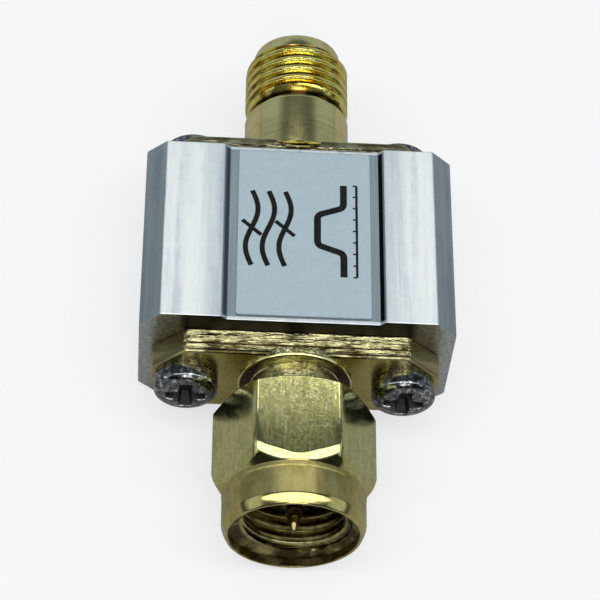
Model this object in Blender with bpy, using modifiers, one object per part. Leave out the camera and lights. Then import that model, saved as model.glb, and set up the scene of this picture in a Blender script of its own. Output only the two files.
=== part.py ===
"""Inline coaxial band-pass filter: an extruded housing with a plug at one end and a socket at the other.

The module lies on its back with the label face up. Metres, +Z up, X across the label, Y along the
signal path: the socket points to +Y and the plug with its coupling nut points to -Y. The origin is
under the middle of the whole length, on the plane that the housing's back rests on.
"""

import math

import bmesh
import bpy
from mathutils import Matrix

mm = 0.001

# Clearances
seat_gap = 0.02 * mm
slide_gap = 0.1 * mm
thread_gap = 0.03 * mm

# Housing, an aluminium extrusion cut to length
housing_width = 17.8 * mm
housing_depth = 8.4 * mm
housing_length = 12.1 * mm
long_edge_chamfer = 1.15 * mm
housing_face_wall = 1.5 * mm
housing_rib_wall = 0.55 * mm
cavity_corner = 0.5 * mm
board_slot_depth = 0.35 * mm
channel_width = 9.2 * mm
channel_depth = 0.3 * mm
channel_wall_run = 0.3 * mm
channel_offset = 0.25 * mm

# Label, a foil plate in the channel
label_side_margin = 0.5 * mm
label_thickness = 0.12 * mm
label_end_margin = 0.35 * mm

# Flange shared by both connectors
flange_inset = 0.75 * mm
flange_height = 5.7 * mm
flange_thickness = 1.5 * mm
flange_corner = 1.9 * mm
dielectric_diameter = 4.1 * mm

# Flange screws
screw_from_flange_end = 2.0 * mm
screw_thread_diameter = 2.0 * mm
screw_engagement = 3.4 * mm
screw_tip_room = 0.5 * mm
screw_point = 0.3 * mm
screw_head_diameter = 3.6 * mm
screw_head_side = 0.75 * mm
screw_head_dome = 0.5 * mm
screw_hole_play = 0.1 * mm
cross_length = 2.2 * mm
cross_width = 0.66 * mm
cross_depth = 0.8 * mm
cross_taper = 0.55

# Socket connector at the far end
socket_base_length = 3.17 * mm
socket_relief_length = 0.38 * mm
socket_relief_depth = 0.42 * mm
socket_thread_length = 3.5 * mm
socket_lead_length = 0.45 * mm
socket_nose_length = 0.77 * mm
socket_nose_wall = 0.325 * mm
socket_mouth_play = 0.025 * mm
thread_lead_rise = 0.5 * mm
thread_depth = 0.315 * mm
socket_mouth_depth = 1.9 * mm
edge_break = 0.12 * mm

# Plug connector at the near end
hub_step = 0.785 * mm
hub_length = 0.22 * mm
neck_shoulder = 0.2 * mm
neck_in_view = 1.61 * mm
sleeve_wall = 0.225 * mm
sleeve_length = 1.0 * mm
plug_recess = 3.0 * mm

# Coupling nut
nut_wall = 0.875 * mm
nut_length = 8.0 * mm
nut_hex_length = 4.72 * mm
nut_chamfer_length = 0.68 * mm
nut_groove_length = 0.3 * mm
nut_groove_depth = 0.12 * mm
nut_rear_chamfer = 0.3 * mm
nut_collar_relief = 0.03 * mm
nut_rear_wall = 1.3 * mm
nut_ring_room_length = 2.2 * mm
nut_ring_room_play = 0.2 * mm
nut_mouth_flare = 0.45 * mm
nut_counterbore_depth = 0.5 * mm
nut_mouth_cone_length = 0.35 * mm

# Snap ring that holds the nut on the neck
snap_ring_stand = 0.575 * mm
snap_ring_length = 0.45 * mm
snap_groove_depth = 0.32 * mm
snap_ring_split = 0.6 * mm

# Centre contacts
contact_diameter = 1.27 * mm
contact_tail_diameter = 0.9 * mm
contact_tail_length = 2.0 * mm
pin_diameter = 0.91 * mm
pin_reach = 2.75 * mm
pin_tip_length = 1.0 * mm
pin_tip_diameter = 0.2 * mm
socket_bore_diameter = 0.96 * mm
socket_bore_depth = 2.6 * mm
socket_slit_width = 0.18 * mm
socket_slit_depth = 1.9 * mm

# Circuit board and the parts on it
board_thickness = 0.8 * mm
board_end_room = 0.15 * mm
filter_chip_width = 1.6 * mm
filter_chip_length = 3.2 * mm
filter_chip_height = 1.1 * mm
small_chip_width = 0.5 * mm
small_chip_length = 1.0 * mm
small_chip_from_tail = 0.95 * mm
shunt_chip_from_axis = 1.9 * mm
solder_width = 1.5 * mm
solder_length = 1.2 * mm
solder_cover = 0.3 * mm
solder_from_tail_end = 0.8 * mm

facets = 48
small_facets = 24
joint_overlap = 0.2 * mm
cut_over = 1.0 * mm

plug_reach = flange_thickness + hub_length + neck_in_view + nut_length
socket_reach = (
    flange_thickness
    + socket_base_length
    + socket_relief_length
    + socket_thread_length
    + socket_lead_length
    + socket_nose_length
)
sleeve_diameter = dielectric_diameter + 2 * sleeve_wall
neck_diameter = sleeve_diameter + 2 * neck_shoulder
hub_diameter = neck_diameter + 2 * hub_step
socket_mouth_diameter = sleeve_diameter + 2 * socket_mouth_play
socket_nose_diameter = socket_mouth_diameter + 2 * socket_nose_wall
thread_diameter = socket_nose_diameter + 2 * thread_lead_rise
snap_ring_diameter = neck_diameter + 2 * snap_ring_stand
nut_across_flats = thread_diameter + 2 * nut_wall
nut_bore_diameter = thread_diameter - 2 * thread_depth
nut_mouth_diameter = thread_diameter + 2 * nut_mouth_flare
nut_ring_room_diameter = snap_ring_diameter + 2 * nut_ring_room_play
axis_height = housing_depth / 2
label_width = channel_width - 2 * (channel_wall_run + label_side_margin)
flange_width = housing_width - 2 * flange_inset
screw_spacing = flange_width - 2 * screw_from_flange_end
housing_centre_y = (plug_reach - socket_reach) / 2
plug_face_y = housing_centre_y - housing_length / 2
socket_face_y = housing_centre_y + housing_length / 2
board_top = axis_height - contact_tail_diameter / 2 - seat_gap
cavity_width = screw_spacing - screw_thread_diameter - 2 * (thread_gap + housing_rib_wall + board_slot_depth)
cavity_height = housing_depth - 2 * housing_face_wall
tail_end_from_centre = housing_length / 2 - contact_tail_length
small_chip_from_centre = tail_end_from_centre - small_chip_from_tail - small_chip_length / 2
plug_plane = plug_reach - plug_recess
socket_plane = socket_reach - socket_mouth_depth
nut_rear = flange_thickness + hub_length + neck_in_view

# Directions in which a connector's own +Z can point
TO_SOCKET_END = Matrix.Rotation(-math.pi / 2, 4, "X")
TO_PLUG_END = Matrix.Rotation(math.pi / 2, 4, "X")


def clear_scene():
    for obj in list(bpy.data.objects):
        bpy.data.objects.remove(obj, do_unlink=True)


def new_collection(name):
    collection = bpy.data.collections.new(name)
    bpy.context.scene.collection.children.link(collection)
    return collection


def new_material(name, colour, roughness, metallic):
    material = bpy.data.materials.new(name)
    material.use_nodes = True
    shader = material.node_tree.nodes["Principled BSDF"]
    shader.inputs["Base Color"].default_value = (*colour, 1)
    shader.inputs["Roughness"].default_value = roughness
    shader.inputs["Metallic"].default_value = metallic
    return material


def place(obj, direction, face_y):
    """Stand an object modelled along its own +Z on a housing face, pointing out of that face."""
    obj.matrix_world = Matrix.Translation((0, face_y, axis_height)) @ direction
    return obj


def new_object(name, mesh, material, collection):
    obj = bpy.data.objects.new(name, mesh)
    collection.objects.link(obj)
    if material:
        mesh.materials.append(material)
    if collection is tools:
        obj.hide_render = True
        obj.display_type = "WIRE"
    return obj


def turned(name, profile, material, collection, steps=facets):
    """Turn a profile of (radius, height) points about Z, listed from the top down its outer side."""
    mesh = bpy.data.meshes.new(name)
    on_axis = profile[0][0] == 0
    last = len(profile) - 1
    edges = [(i, i + 1) for i in range(last)]
    if not on_axis:
        edges.append((last, 0))
    mesh.from_pydata([(radius, 0, height) for radius, height in profile], edges, [])
    obj = new_object(name, mesh, material, collection)
    screw = obj.modifiers.new("turn", "SCREW")
    screw.axis = "Z"
    screw.steps = steps
    screw.render_steps = steps
    screw.use_merge_vertices = True
    screw.merge_threshold = 0.000001
    return obj


def outline_solid(name, points, thickness, material, collection):
    """A flat outline in its own XY plane, as thick as asked for along Z, centred."""
    curve = bpy.data.curves.new(name, "CURVE")
    curve.dimensions = "2D"
    curve.fill_mode = "BOTH"
    curve.extrude = thickness / 2
    spline = curve.splines.new("POLY")
    spline.points.add(len(points) - 1)
    for point, (x, y) in zip(spline.points, points):
        point.co = (x, y, 0, 1)
    spline.use_cyclic_u = True
    outline = bpy.data.objects.new(name + "_outline", curve)
    bpy.context.scene.collection.objects.link(outline)
    graph = bpy.context.evaluated_depsgraph_get()
    mesh = bpy.data.meshes.new_from_object(outline.evaluated_get(graph))
    bpy.data.objects.remove(outline, do_unlink=True)
    mesh.name = name
    shape = bmesh.new()
    shape.from_mesh(mesh)
    bmesh.ops.remove_doubles(shape, verts=shape.verts, dist=0.000001)
    bmesh.ops.recalc_face_normals(shape, faces=shape.faces)
    shape.to_mesh(mesh)
    shape.free()
    mesh.materials.clear()
    return new_object(name, mesh, material, collection)


def cylinder(name, diameter, bottom, top, collection, steps=small_facets, across=0.0):
    """A plain cylinder along Z from bottom to top, its axis moved by across along X."""
    shape = bmesh.new()
    bmesh.ops.create_cone(
        shape,
        cap_ends=True,
        segments=steps,
        radius1=diameter / 2,
        radius2=diameter / 2,
        depth=top - bottom,
        matrix=Matrix.Translation((across, 0, (top + bottom) / 2)),
    )
    mesh = bpy.data.meshes.new(name)
    shape.to_mesh(mesh)
    shape.free()
    return new_object(name, mesh, None, collection)


def box(name, size, centre, material, collection):
    shape = bmesh.new()
    bmesh.ops.create_cube(shape, size=1)
    bmesh.ops.scale(shape, vec=size, verts=shape.verts)
    bmesh.ops.translate(shape, vec=centre, verts=shape.verts)
    mesh = bpy.data.meshes.new(name)
    shape.to_mesh(mesh)
    shape.free()
    return new_object(name, mesh, material, collection)


def combine(obj, other, operation):
    modifier = obj.modifiers.new(operation.lower(), "BOOLEAN")
    modifier.operation = operation
    modifier.solver = "EXACT"
    modifier.object = other


def chamfered_rectangle(width, height, corner):
    """The outline of a rectangle with its four corners cut at 45 degrees, anticlockwise."""
    x = width / 2
    y = height / 2
    quarter = [(x, y - corner), (x - corner, y)]
    top = quarter + [(-px, py) for px, py in reversed(quarter)]
    return top + [(-px, -py) for px, py in top]


def housing_outline():
    """The extrusion's section: a cut-corner rectangle with the label channel sunk in its upper side.

    The channel is a little off the middle, as the photo shows one land wider than the other.
    """
    section = chamfered_rectangle(housing_width, housing_depth, long_edge_chamfer)
    face = housing_depth / 2
    floor = face - channel_depth
    edge = channel_width / 2
    foot = edge - channel_wall_run
    channel = [(edge, face), (foot, floor), (-foot, floor), (-edge, face)]
    channel = [(x + channel_offset, y) for x, y in channel]
    return section[:2] + channel + section[2:]


def build_housing():
    housing = outline_solid("housing", housing_outline(), housing_length, aluminium, parts)
    place(housing, TO_PLUG_END, housing_centre_y)
    through = housing_length + 2 * cut_over
    cavity_outline = chamfered_rectangle(cavity_width, cavity_height, cavity_corner)
    cavity = outline_solid("housing_cavity", cavity_outline, through, None, tools)
    place(cavity, TO_PLUG_END, housing_centre_y)
    combine(housing, cavity, "DIFFERENCE")
    slot = box(
        "board_slot",
        (cavity_width + 2 * board_slot_depth, through, board_thickness + 2 * seat_gap),
        (0, housing_centre_y, board_top - board_thickness / 2),
        None,
        tools,
    )
    combine(housing, slot, "DIFFERENCE")
    drilled = screw_thread_diameter + 2 * thread_gap
    depth = screw_engagement + screw_tip_room
    ends = (("plug", TO_PLUG_END, plug_face_y), ("socket", TO_SOCKET_END, socket_face_y))
    for end, direction, face_y in ends:
        for side in (-1, 1):
            name = f"{end}_screw_hole_{'left' if side < 0 else 'right'}"
            hole = cylinder(name, drilled, -depth, cut_over, tools, across=side * screw_spacing / 2)
            place(hole, direction, face_y)
            combine(housing, hole, "DIFFERENCE")


def build_label():
    floor = housing_depth - channel_depth
    box(
        "label",
        (label_width, housing_length - 2 * label_end_margin, label_thickness),
        (channel_offset, housing_centre_y, floor + seat_gap + label_thickness / 2),
        label_foil,
        parts,
    )


def flange_plate(name, barrel, direction, face_y):
    """A connector body: the two-hole flange plate joined to a turned barrel and bored through."""
    outline = chamfered_rectangle(flange_width, flange_height, flange_corner)
    plate = outline_solid(name, outline, flange_thickness - seat_gap, gold, parts)
    middle = (flange_thickness + seat_gap) / 2
    plate.data.transform(Matrix.Translation((0, 0, middle)))
    place(plate, direction, face_y)
    place(barrel, direction, face_y)
    combine(plate, barrel, "UNION")
    for side in (-1, 1):
        hole = cylinder(
            f"{name}_hole_{'left' if side < 0 else 'right'}",
            screw_thread_diameter + 2 * screw_hole_play,
            -cut_over,
            flange_thickness + cut_over,
            tools,
            across=side * screw_spacing / 2,
        )
        place(hole, direction, face_y)
        combine(plate, hole, "DIFFERENCE")
    return plate


def build_socket():
    """The far connector: smooth base, relief, threaded barrel and nose, with its insulator and contact."""
    radius = thread_diameter / 2
    base_end = flange_thickness + socket_base_length
    relief_end = base_end + socket_relief_length
    thread_end = relief_end + socket_thread_length
    nose_start = thread_end + socket_lead_length
    nose = socket_nose_diameter / 2
    barrel = turned(
        "socket_barrel",
        [
            (0, socket_reach),
            (nose - edge_break, socket_reach),
            (nose, socket_reach - edge_break),
            (nose, nose_start),
            (radius, thread_end),
            (radius, relief_end),
            (radius - socket_relief_depth, relief_end),
            (radius - socket_relief_depth, base_end),
            (radius - edge_break, base_end),
            (radius, base_end - edge_break),
            (radius, flange_thickness - joint_overlap),
            (0, flange_thickness - joint_overlap),
        ],
        None,
        tools,
    )
    body = flange_plate("socket_body", barrel, TO_SOCKET_END, socket_face_y)
    bore = dielectric_diameter / 2 + seat_gap
    mouth = socket_mouth_diameter / 2
    cutter = turned(
        "socket_bore",
        [
            (0, socket_reach + cut_over),
            (mouth, socket_reach + cut_over),
            (mouth, socket_plane),
            (bore, socket_plane),
            (bore, -cut_over),
            (0, -cut_over),
        ],
        None,
        tools,
    )
    combine(body, place(cutter, TO_SOCKET_END, socket_face_y), "DIFFERENCE")
    build_insulator("socket_insulator", socket_plane, TO_SOCKET_END, socket_face_y)
    build_socket_contact()


def build_insulator(name, front, direction, face_y):
    """A PTFE bush that fills the connector's bore and carries the centre contact."""
    outer = dielectric_diameter / 2
    inner = contact_diameter / 2 + seat_gap
    bush = turned(name, [(outer, front), (outer, 0), (inner, 0), (inner, front)], ptfe, parts)
    place(bush, direction, face_y)


def build_socket_contact():
    """The socket's centre contact: a slit sleeve in front, a solder tail behind."""
    outer = contact_diameter / 2
    tail = contact_tail_diameter / 2
    bore = socket_bore_diameter / 2
    bore_floor = socket_plane - socket_bore_depth
    contact = turned(
        "socket_contact",
        [
            (0, bore_floor),
            (bore, bore_floor + bore),
            (bore, socket_plane),
            (outer, socket_plane),
            (outer, 0),
            (tail, 0),
            (tail, -contact_tail_length),
            (0, -contact_tail_length),
        ],
        contact_gold,
        parts,
        small_facets,
    )
    place(contact, TO_SOCKET_END, socket_face_y)
    height = socket_slit_depth + cut_over
    middle = socket_plane + cut_over - height / 2
    for turn in range(2):
        sides = (contact_diameter + cut_over, socket_slit_width, height)
        slit = box(f"contact_slit_{turn}", sides, (0, 0, middle), None, tools)
        slit.data.transform(Matrix.Rotation(math.pi / 4 + turn * math.pi / 2, 4, "Z"))
        combine(contact, place(slit, TO_SOCKET_END, socket_face_y), "DIFFERENCE")


def snap_groove():
    """Start and end of the neck's groove for the snap ring, measured out from the housing face."""
    start = nut_rear + nut_rear_wall + slide_gap - seat_gap
    return start, start + snap_ring_length + 2 * seat_gap


def build_plug():
    """The near connector: hub, grooved neck and sleeve, with its insulator and centre pin."""
    hub_end = flange_thickness + hub_length
    neck_end = plug_plane - sleeve_length
    neck = neck_diameter / 2
    groove_start, groove_end = snap_groove()
    barrel = turned(
        "plug_barrel",
        [
            (0, plug_plane),
            (sleeve_diameter / 2 - edge_break, plug_plane),
            (sleeve_diameter / 2, plug_plane - edge_break),
            (sleeve_diameter / 2, neck_end),
            (neck - edge_break, neck_end),
            (neck, neck_end - edge_break),
            (neck, groove_end),
            (neck - snap_groove_depth, groove_end),
            (neck - snap_groove_depth, groove_start),
            (neck, groove_start),
            (neck, hub_end),
            (hub_diameter / 2 - edge_break, hub_end),
            (hub_diameter / 2, hub_end - edge_break),
            (hub_diameter / 2, flange_thickness - joint_overlap),
            (0, flange_thickness - joint_overlap),
        ],
        None,
        tools,
    )
    body = flange_plate("plug_body", barrel, TO_PLUG_END, plug_face_y)
    bore = cylinder(
        "plug_bore", dielectric_diameter + 2 * seat_gap, -cut_over, plug_plane + cut_over, tools, facets
    )
    combine(body, place(bore, TO_PLUG_END, plug_face_y), "DIFFERENCE")
    build_insulator("plug_insulator", plug_plane, TO_PLUG_END, plug_face_y)
    pin_end = plug_plane + pin_reach
    pin = turned(
        "centre_pin",
        [
            (0, pin_end),
            (pin_tip_diameter / 2, pin_end),
            (pin_diameter / 2, pin_end - pin_tip_length),
            (pin_diameter / 2, plug_plane),
            (contact_diameter / 2, plug_plane),
            (contact_diameter / 2, 0),
            (contact_tail_diameter / 2, 0),
            (contact_tail_diameter / 2, -contact_tail_length),
            (0, -contact_tail_length),
        ],
        contact_gold,
        parts,
        small_facets,
    )
    place(pin, TO_PLUG_END, plug_face_y)


def build_snap_ring():
    """The split wire ring that sits in the neck's groove, in front of the nut's rear wall."""
    start = snap_groove()[0] + seat_gap
    end = start + snap_ring_length
    outer = snap_ring_diameter / 2
    inner = neck_diameter / 2 - snap_groove_depth + seat_gap
    ring = turned("snap_ring", [(outer, end), (outer, start), (inner, start), (inner, end)], bronze, parts)
    place(ring, TO_PLUG_END, plug_face_y)
    sides = (snap_ring_split, outer + cut_over, snap_ring_length + cut_over)
    split = box("snap_ring_gap", sides, (0, -sides[1] / 2, (start + end) / 2), None, tools)
    combine(ring, place(split, TO_PLUG_END, plug_face_y), "DIFFERENCE")


def build_coupling_nut():
    """A hexagon chamfered at both ends, with a round collar in front and a stepped bore."""
    flat = nut_across_flats / 2
    corner = flat / math.cos(math.pi / 6)
    collar = flat - nut_collar_relief
    front = nut_rear + nut_length
    hex_end = nut_rear + nut_hex_length
    chamfer_end = hex_end + nut_chamfer_length
    groove_end = chamfer_end + nut_groove_length
    neck = collar - nut_groove_depth
    nut = turned(
        "coupling_nut",
        [
            (collar, front - edge_break),
            (collar, groove_end),
            (neck, groove_end),
            (neck, chamfer_end),
            (corner, hex_end),
            (corner, nut_rear + (corner - flat + nut_rear_chamfer) / 2),
            (flat - nut_rear_chamfer, nut_rear),
            (neck_diameter / 2 + slide_gap, nut_rear),
            (neck_diameter / 2 + slide_gap, nut_rear + nut_rear_wall),
            (nut_ring_room_diameter / 2, nut_rear + nut_rear_wall),
            (nut_ring_room_diameter / 2, nut_rear + nut_rear_wall + nut_ring_room_length),
            (nut_bore_diameter / 2, nut_rear + nut_rear_wall + nut_ring_room_length),
            (nut_bore_diameter / 2, front - nut_counterbore_depth - nut_mouth_cone_length),
            (nut_mouth_diameter / 2, front - nut_counterbore_depth),
            (nut_mouth_diameter / 2, front),
            (collar - edge_break, front),
        ],
        gold,
        parts,
    )
    place(nut, TO_PLUG_END, plug_face_y)
    shape = bmesh.new()
    bmesh.ops.create_cone(
        shape,
        cap_ends=True,
        segments=6,
        radius1=corner,
        radius2=corner,
        depth=nut_length + 2 * cut_over,
        matrix=Matrix.Translation((0, 0, nut_rear + nut_length / 2)) @ Matrix.Rotation(math.pi / 6, 4, "Z"),
    )
    mesh = bpy.data.meshes.new("nut_hexagon")
    shape.to_mesh(mesh)
    shape.free()
    hexagon = new_object("nut_hexagon", mesh, None, tools)
    combine(nut, place(hexagon, TO_PLUG_END, plug_face_y), "INTERSECT")


def cross_blade(name, crown, cross_turn):
    """A tapered blade standing in the crown of a screw head: two of them, crossed, cut its recess."""
    blade = box(name, (cross_length, cross_width, 2 * cross_depth), (0, 0, 0), None, tools)
    for vertex in blade.data.vertices:
        if vertex.co.z < 0:
            vertex.co.x *= cross_taper
            vertex.co.y *= cross_taper
    blade.data.transform(Matrix.Translation((0, 0, crown)) @ Matrix.Rotation(cross_turn, 4, "Z"))
    return blade


def build_screw(name, side, direction, face_y, cross_turn):
    """A pan-head machine screw seated on the flange, its tapered cross recess turned by cross_turn."""
    seat = flange_thickness + seat_gap
    head = screw_head_diameter / 2
    shank = screw_thread_diameter / 2
    side_top = seat + screw_head_side
    crown = side_top + screw_head_dome
    angles = [math.radians(angle) for angle in (72, 54, 36, 18)]
    rounding = [
        (head * math.cos(angle) ** 0.6, side_top + screw_head_dome * math.sin(angle)) for angle in angles
    ]
    screw = turned(
        name,
        [
            (0, crown),
            *rounding,
            (head, side_top),
            (head, seat),
            (shank, seat),
            (shank, -screw_engagement + screw_point),
            (shank - screw_point, -screw_engagement),
            (0, -screw_engagement),
        ],
        dark_steel,
        parts,
        small_facets,
    )
    turns = (cross_turn, cross_turn + math.pi / 2)
    blades = [cross_blade(f"{name}_blade_{i}", crown, turn) for i, turn in enumerate(turns)]
    offset = Matrix.Translation((side * screw_spacing / 2, 0, 0))
    for obj in (screw, *blades):
        place(obj, direction, face_y)
        obj.matrix_world = obj.matrix_world @ offset
    for blade in blades:
        combine(screw, blade, "DIFFERENCE")


def build_board():
    """The circuit board in the housing's slots, with the filter chip and four small chips on it."""
    width = cavity_width + 2 * board_slot_depth - 2 * slide_gap
    length = housing_length - 2 * board_end_room
    box(
        "circuit_board",
        (width, length, board_thickness - 2 * seat_gap),
        (0, housing_centre_y, board_top - board_thickness / 2),
        board_green,
        parts,
    )
    filter_chip = (filter_chip_width, filter_chip_length, filter_chip_height)
    small_chip = (small_chip_width, small_chip_length, small_chip_width)
    add_chip("filter_chip", filter_chip, 0, 0, ceramic)
    for end, side in (("input", -1), ("output", 1)):
        along = side * small_chip_from_centre
        add_chip(f"series_capacitor_{end}", small_chip, 0, along, tan_ceramic)
        add_chip(f"shunt_inductor_{end}", small_chip, shunt_chip_from_axis, along, ceramic)


def add_chip(name, size, x, y, material):
    box(name, size, (x, housing_centre_y + y, board_top + size[2] / 2), material, parts)


def build_solder(name, direction, face_y):
    """A solder mound on the board that covers the end of a contact's tail."""
    tail_top = contact_tail_diameter / 2
    inward = contact_tail_length - solder_from_tail_end
    height = 2 * (tail_top + solder_cover)
    shape = bmesh.new()
    bmesh.ops.create_uvsphere(shape, u_segments=small_facets, v_segments=12, radius=0.5)
    bmesh.ops.scale(shape, vec=(solder_width, height, solder_length), verts=shape.verts)
    bmesh.ops.translate(shape, vec=(0, 0, -inward), verts=shape.verts)
    mesh = bpy.data.meshes.new(name)
    shape.to_mesh(mesh)
    shape.free()
    mound = new_object(name, mesh, solder, parts)
    place(mound, direction, face_y)
    tail = cylinder(
        name + "_tail_room",
        contact_tail_diameter + 2 * seat_gap,
        -contact_tail_length - cut_over,
        cut_over,
        tools,
    )
    combine(mound, place(tail, direction, face_y), "DIFFERENCE")
    under = box(
        name + "_board_room",
        (solder_width + cut_over, solder_length + cut_over, height),
        (0, face_y, board_top + seat_gap - height / 2),
        None,
        tools,
    )
    under.location.y = inward if face_y < housing_centre_y else -inward
    combine(mound, under, "DIFFERENCE")


clear_scene()
parts = new_collection("inline_bandpass_filter")
tools = new_collection("cutters")

aluminium = new_material("aluminium", (0.80, 0.81, 0.83), 0.35, 1.0)
gold = new_material("gold_plate", (0.72, 0.62, 0.28), 0.28, 1.0)
contact_gold = new_material("contact_gold", (0.85, 0.68, 0.30), 0.25, 1.0)
bronze = new_material("phosphor_bronze", (0.62, 0.42, 0.22), 0.35, 1.0)
dark_steel = new_material("blackened_steel", (0.07, 0.075, 0.08), 0.35, 1.0)
label_foil = new_material("label_foil", (0.45, 0.53, 0.58), 0.5, 0.0)
ptfe = new_material("ptfe", (0.86, 0.86, 0.83), 0.5, 0.0)
board_green = new_material("board_green", (0.02, 0.16, 0.07), 0.4, 0.0)
ceramic = new_material("chip_ceramic", (0.80, 0.80, 0.78), 0.5, 0.0)
tan_ceramic = new_material("capacitor_ceramic", (0.55, 0.38, 0.22), 0.5, 0.0)
solder = new_material("solder", (0.62, 0.63, 0.64), 0.3, 1.0)

build_housing()
build_label()
build_socket()
build_plug()
build_snap_ring()
build_coupling_nut()
build_screw("plug_screw_left", -1, TO_PLUG_END, plug_face_y, math.radians(0))
build_screw("plug_screw_right", 1, TO_PLUG_END, plug_face_y, math.radians(3))
build_screw("socket_screw_left", -1, TO_SOCKET_END, socket_face_y, math.radians(52))
build_screw("socket_screw_right", 1, TO_SOCKET_END, socket_face_y, math.radians(9))
build_board()
build_solder("input_solder", TO_PLUG_END, plug_face_y)
build_solder("output_solder", TO_SOCKET_END, socket_face_y)
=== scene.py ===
"""Looks of the inline coaxial band-pass filter: every visible surface, the studio and the camera."""

import math

import bmesh
import bpy
import numpy as np
from mathutils import Matrix, Vector


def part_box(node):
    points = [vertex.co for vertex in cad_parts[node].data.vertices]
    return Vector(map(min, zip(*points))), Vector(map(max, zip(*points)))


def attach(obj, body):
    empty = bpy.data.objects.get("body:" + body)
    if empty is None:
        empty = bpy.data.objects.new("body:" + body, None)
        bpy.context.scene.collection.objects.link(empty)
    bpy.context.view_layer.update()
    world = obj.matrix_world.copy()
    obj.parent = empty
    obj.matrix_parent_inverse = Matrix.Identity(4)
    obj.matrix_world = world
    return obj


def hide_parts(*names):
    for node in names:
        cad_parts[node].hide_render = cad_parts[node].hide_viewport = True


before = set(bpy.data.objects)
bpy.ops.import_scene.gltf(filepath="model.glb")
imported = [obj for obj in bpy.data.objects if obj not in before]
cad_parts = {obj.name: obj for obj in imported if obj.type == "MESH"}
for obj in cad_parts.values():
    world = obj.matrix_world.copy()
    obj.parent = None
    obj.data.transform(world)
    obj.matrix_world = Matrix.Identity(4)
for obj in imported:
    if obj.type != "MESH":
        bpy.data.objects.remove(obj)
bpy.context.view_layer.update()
mm = 0.001

# Camera: a long lens looks down on the label from the plug's end, a little to the left of the axis,
# and rolled by a few degrees as the photograph is.
view_azimuth = math.radians(-5.45)
view_elevation = math.radians(56.14)
view_roll = math.radians(6.83)
view_distance = 135.8 * mm
aim = Vector((0.28 * mm, -1.17 * mm, 4.2 * mm))


def direction_to(azimuth, elevation):
    """Unit vector towards an azimuth, 0 at the plug's end and a quarter turn on the right, and a height."""
    flat = math.cos(elevation)
    return Vector((math.sin(azimuth) * flat, -math.cos(azimuth) * flat, math.sin(elevation)))


toward_camera = direction_to(view_azimuth, view_elevation)
level_right = Vector((math.cos(view_azimuth), math.sin(view_azimuth), 0))
level_up = toward_camera.cross(level_right)
camera_right = level_right * math.cos(view_roll) + level_up * math.sin(view_roll)
camera_up = level_up * math.cos(view_roll) - level_right * math.sin(view_roll)
camera_data = bpy.data.cameras.new("camera")
camera_data.sensor_width = 36
camera_data.lens = 140.7
camera_data.clip_start = 0.01
camera_data.clip_end = 5
camera = bpy.data.objects.new("camera", camera_data)
bpy.context.scene.collection.objects.link(camera)
camera.matrix_world = Matrix.Translation(aim + toward_camera * view_distance) @ Matrix(
    (camera_right, camera_up, toward_camera)
).transposed().to_4x4()
bpy.context.scene.camera = camera

# Housing: a length of drawn aluminium extrusion with cut long edges and a shallow label channel,
# sawn to length, its edges broken, the drawing lines left on its long faces.
housing_low, housing_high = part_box("housing")
housing_middle = (housing_low + housing_high) / 2
housing_half = (housing_high - housing_low) / 2
axis_z = housing_middle.z
long_chamfer = 1.15 * mm
channel_half = 4.6 * mm
channel_depth = 0.3 * mm
channel_run = 0.3 * mm
channel_shift = 0.25 * mm
cavity_half_width = 4.22 * mm
cavity_half_height = 2.7 * mm
housing_edge = 0.09 * mm
label_low, label_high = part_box("label")


def rounded_corners(before, corners, after, radius, steps):
    """A quadratic curve at each corner, from radius before it to radius after it.

    On the curve, point(t) = (1-t)^2 start + 2t(1-t) corner + t^2 end, with t from 0 to 1.
    """
    before, after = before - corners, after - corners
    start = corners + radius * before / np.linalg.norm(before, axis=1)[:, None]
    end = corners + radius * after / np.linalg.norm(after, axis=1)[:, None]
    t = np.linspace(0, 1, steps)[None, :, None]
    points = (1 - t) ** 2 * start[:, None] + 2 * t * (1 - t) * corners[:, None] + t**2 * end[:, None]
    return points.reshape(-1, 2)


def rounded_outline(corners, radius, steps=4):
    """A closed outline with its corners rounded."""
    corners = np.asarray(corners, float)
    before, after = np.roll(corners, 1, axis=0), np.roll(corners, -1, axis=0)
    return rounded_corners(before, corners, after, radius, steps)


def skin(rings, loop=False, first_cap=True, last_cap=True):
    """Joins a stack of rings, an array (ring, point, xyz), by quads, closed round each ring.

    Quad (i, j) has the corners (i, j), (i, j+1), (i+1, j+1), (i+1, j). Open ends get one flat face,
    and with loop the last ring joins the first.
    """
    rings = np.asarray(rings, float)
    count, around = rings.shape[:2]
    index = np.arange(count * around).reshape(count, around)
    upper = np.roll(index, -1, axis=0) if loop else index[1:]
    lower = index if loop else index[:-1]
    corners = (lower, np.roll(lower, -1, axis=1), np.roll(upper, -1, axis=1), upper)
    faces = np.stack(corners, axis=-1).reshape(-1, 4).tolist()
    if not loop and first_cap:
        faces.append(index[0, ::-1].tolist())
    if not loop and last_cap:
        faces.append(index[-1].tolist())
    return rings.reshape(-1, 3), faces


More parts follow.
